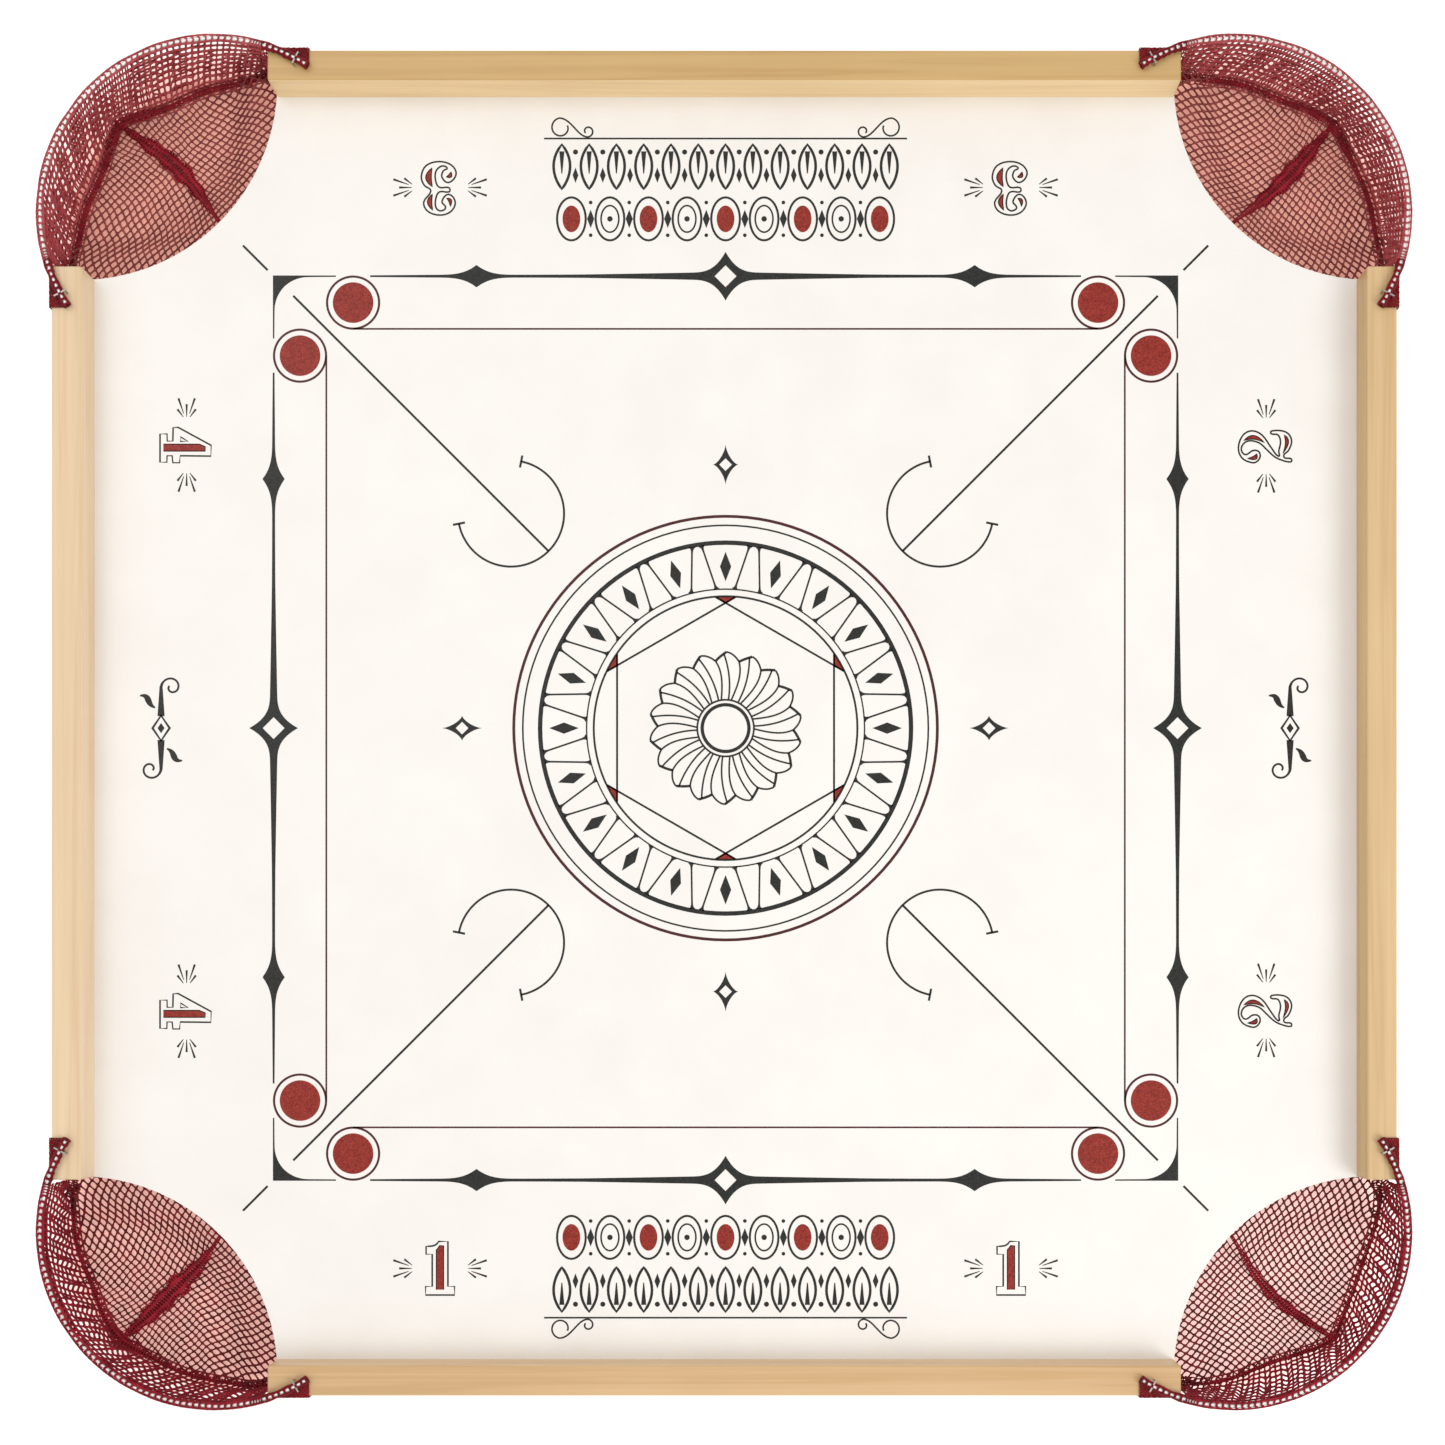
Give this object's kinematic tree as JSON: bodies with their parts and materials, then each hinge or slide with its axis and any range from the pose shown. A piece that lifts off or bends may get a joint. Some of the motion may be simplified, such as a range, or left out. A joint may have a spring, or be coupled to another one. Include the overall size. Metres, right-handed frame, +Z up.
{
  "type": "carrom board",
  "caption": "Square tabletop disc-flicking game board: a white panel in wooden rails, with a knitted net pocket on a wire hoop at each open corner.",
  "frame": {"origin": "centre of the board's footprint, on the surface it lies on", "axes": "+Z up; +Y away from the player at the front side, +X to that player's right"},
  "size_m": [0.7878, 0.7878, 0.0419],
  "materials": {
    "panel": "white printed and varnished hardboard face",
    "rail_wood": "satin varnished pale pine",
    "netting": "dark red knitted nylon net",
    "hoop_wire": "bright drawn wire",
    "fastener_steel": "bright zinc plated"
  },
  "bodies": {
    "root": {"playing_panel": "panel", "rail_back": "rail_wood", "rail_brads_back": "fastener_steel", "rail_left": "rail_wood", "rail_brads_left": "fastener_steel", "rail_front": "rail_wood", "rail_brads_front": "fastener_steel", "rail_right": "rail_wood", "rail_brads_right": "fastener_steel", "pocket_net_back_right": "netting", "hoop_wire_back_right": "hoop_wire", "net_staples_back_right": "fastener_steel", "rim_staples_back_right": "fastener_steel", "pocket_net_back_left": "netting", "hoop_wire_back_left": "hoop_wire", "net_staples_back_left": "fastener_steel", "rim_staples_back_left": "fastener_steel", "pocket_net_front_left": "netting", "hoop_wire_front_left": "hoop_wire", "net_staples_front_left": "fastener_steel", "rim_staples_front_left": "fastener_steel", "pocket_net_front_right": "netting", "hoop_wire_front_right": "hoop_wire", "net_staples_front_right": "fastener_steel", "rim_staples_front_right": "fastener_steel"}
  },
  "joints": []
}
